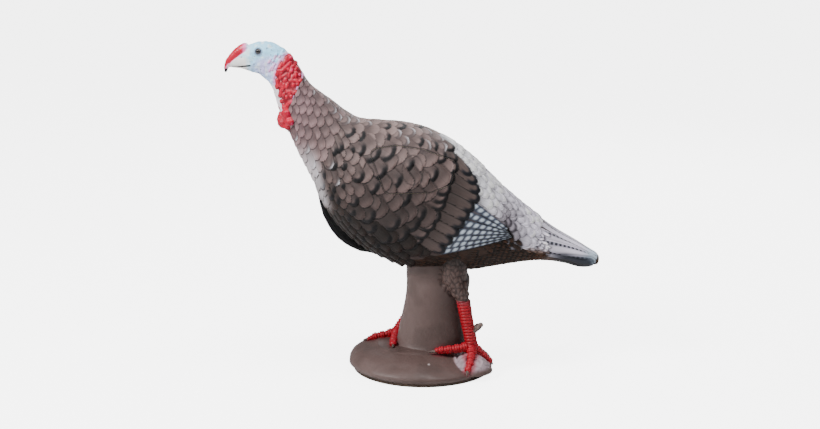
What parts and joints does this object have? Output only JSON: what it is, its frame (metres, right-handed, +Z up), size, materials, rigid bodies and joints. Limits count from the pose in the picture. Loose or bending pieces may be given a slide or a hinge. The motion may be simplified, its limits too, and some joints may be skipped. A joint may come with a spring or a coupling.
{
  "type": "turkey decoy",
  "caption": "Life-size foam gobbler decoy with moulded feathers, a lift-off torso, a slide-out core and a weighted round foot pedestal.",
  "frame": {"origin": "on the ground at the middle of the pedestal's board", "axes": "+X towards the tail (the bird faces -X), +Y towards the bird's right side, +Z up"},
  "size_m": [0.7807, 0.306, 0.6956],
  "materials": {
    "plumage_foam": "flexible foam with a painted, satin skin of moulded feathers",
    "head_foam": "flexible foam, hand painted pale blue, white and red",
    "eye_glass": "black glass eye with a polished dome",
    "beard_bristle": "coarse black bristle, combed one way",
    "rod_plastic": "round glass-fibre stiffening rod",
    "sleeve_plastic": "black moulded polythene",
    "pedestal_foam": "hard foam with a satin earth-brown paint",
    "leg_paint": "red painted scutes, satin",
    "claw_plastic": "grey-brown horn colour, satin",
    "spur_plastic": "brown horn colour, matt",
    "board_wood": "dark stained birch plywood",
    "steel": "mill finish steel tube and plate",
    "zinc_steel": "bright zinc plated"
  },
  "bodies": {
    "pedestal": {"pedestal_casting": "pedestal_foam", "base_board": "board_wood", "support_tube": "steel", "tube_flange": "steel", "flange_bolts": "zinc_steel", "flange_nuts": "zinc_steel", "peg_sleeves": "sleeve_plastic", "left_leg": "leg_paint", "right_leg": "leg_paint", "left_claws": "claw_plastic", "right_claws": "claw_plastic", "left_spur": "spur_plastic", "right_spur": "spur_plastic"},
    "torso": {"torso_casting": "plumage_foam", "neck_casting": "plumage_foam", "head_casting": "head_foam", "tail_casting": "plumage_foam", "left_eye": "eye_glass", "right_eye": "eye_glass", "beard": "beard_bristle", "neck_rod": "rod_plastic", "tail_rod": "rod_plastic", "tube_socket": "sleeve_plastic"},
    "core": {"vital_core": "plumage_foam"}
  },
  "joints": [
    {"name": "torso_lift", "type": "slide", "parent": "pedestal", "child": "torso", "axis": [0, 0, 1], "range_m": [0, 0.16]},
    {"name": "core_slide", "type": "slide", "parent": "torso", "child": "core", "axis": [0, -1, 0], "range_m": [0, 0.24]}
  ]
}
